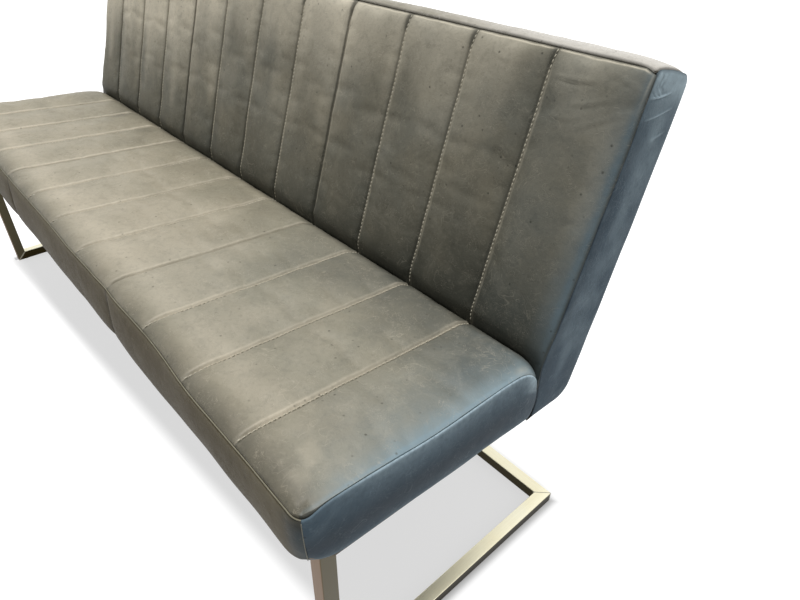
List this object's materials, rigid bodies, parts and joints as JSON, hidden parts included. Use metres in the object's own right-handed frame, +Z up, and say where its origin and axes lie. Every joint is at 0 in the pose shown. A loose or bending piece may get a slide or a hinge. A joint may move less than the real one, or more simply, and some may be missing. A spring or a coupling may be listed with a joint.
{
  "type": "armless sofa",
  "caption": "Armless bench sofa with a channelled leather seat and raked back, on a cantilever base of square metal tube that rests on the floor.",
  "frame": {"origin": "centre of the bounding box at the floor, where the glides rest", "axes": "+X along the sofa, the front faces -Y, +Z up"},
  "size_m": [1.806, 0.6652, 0.904],
  "materials": {
    "base_metal": "pale champagne brass plating, satin",
    "plastic": "matte black",
    "zinc_steel": "zinc plated",
    "wood": "planed, unfinished",
    "hardboard": "pressed board",
    "webbing": "woven elastic",
    "foam": "open-cell foam",
    "quilted_leather": "waxed taupe grey leather with pull-up marks",
    "band_leather": "waxed slate grey leather with pull-up marks",
    "dust_cloth": "black non-woven cloth"
  },
  "bodies": {
    "root": {"leg_right": "base_metal", "leg_left": "base_metal", "runner_right": "base_metal", "runner_left": "base_metal", "rear_crossbar": "base_metal", "seat_rail_right": "base_metal", "seat_rail_left": "base_metal", "rail_end_caps": "plastic", "floor_glides": "plastic", "frame_bolts": "zinc_steel", "frame_washers": "zinc_steel", "insert_nuts": "zinc_steel", "back_bolts": "zinc_steel", "back_washers": "zinc_steel", "back_nuts": "zinc_steel", "seat_front_rail": "wood", "seat_rear_rail": "wood", "seat_side_rail_right": "wood", "seat_side_rail_left": "wood", "seat_cross_rails": "wood", "seat_corner_blocks": "wood", "back_post_right": "wood", "back_post_left": "wood", "back_top_rail": "wood", "back_bottom_rail": "wood", "back_uprights": "wood", "back_board": "hardboard", "webbing_cross_straps": "webbing", "webbing_long_straps": "webbing", "seat_foam": "foam", "back_foam": "foam", "seat_panel_right": "quilted_leather", "seat_panel_middle": "quilted_leather", "seat_panel_left": "quilted_leather", "back_panel_right": "quilted_leather", "back_panel_middle": "quilted_leather", "back_panel_left": "quilted_leather", "front_welt": "quilted_leather", "front_band_right": "band_leather", "front_band_middle": "band_leather", "front_band_left": "band_leather", "seat_side_band_right": "band_leather", "seat_side_band_left": "band_leather", "top_band_right": "band_leather", "top_band_middle": "band_leather", "top_band_left": "band_leather", "back_side_band_right": "band_leather", "back_side_band_left": "band_leather", "rear_cover_right": "band_leather", "rear_cover_middle": "band_leather", "rear_cover_left": "band_leather", "dust_cover": "dust_cloth"}
  },
  "joints": []
}
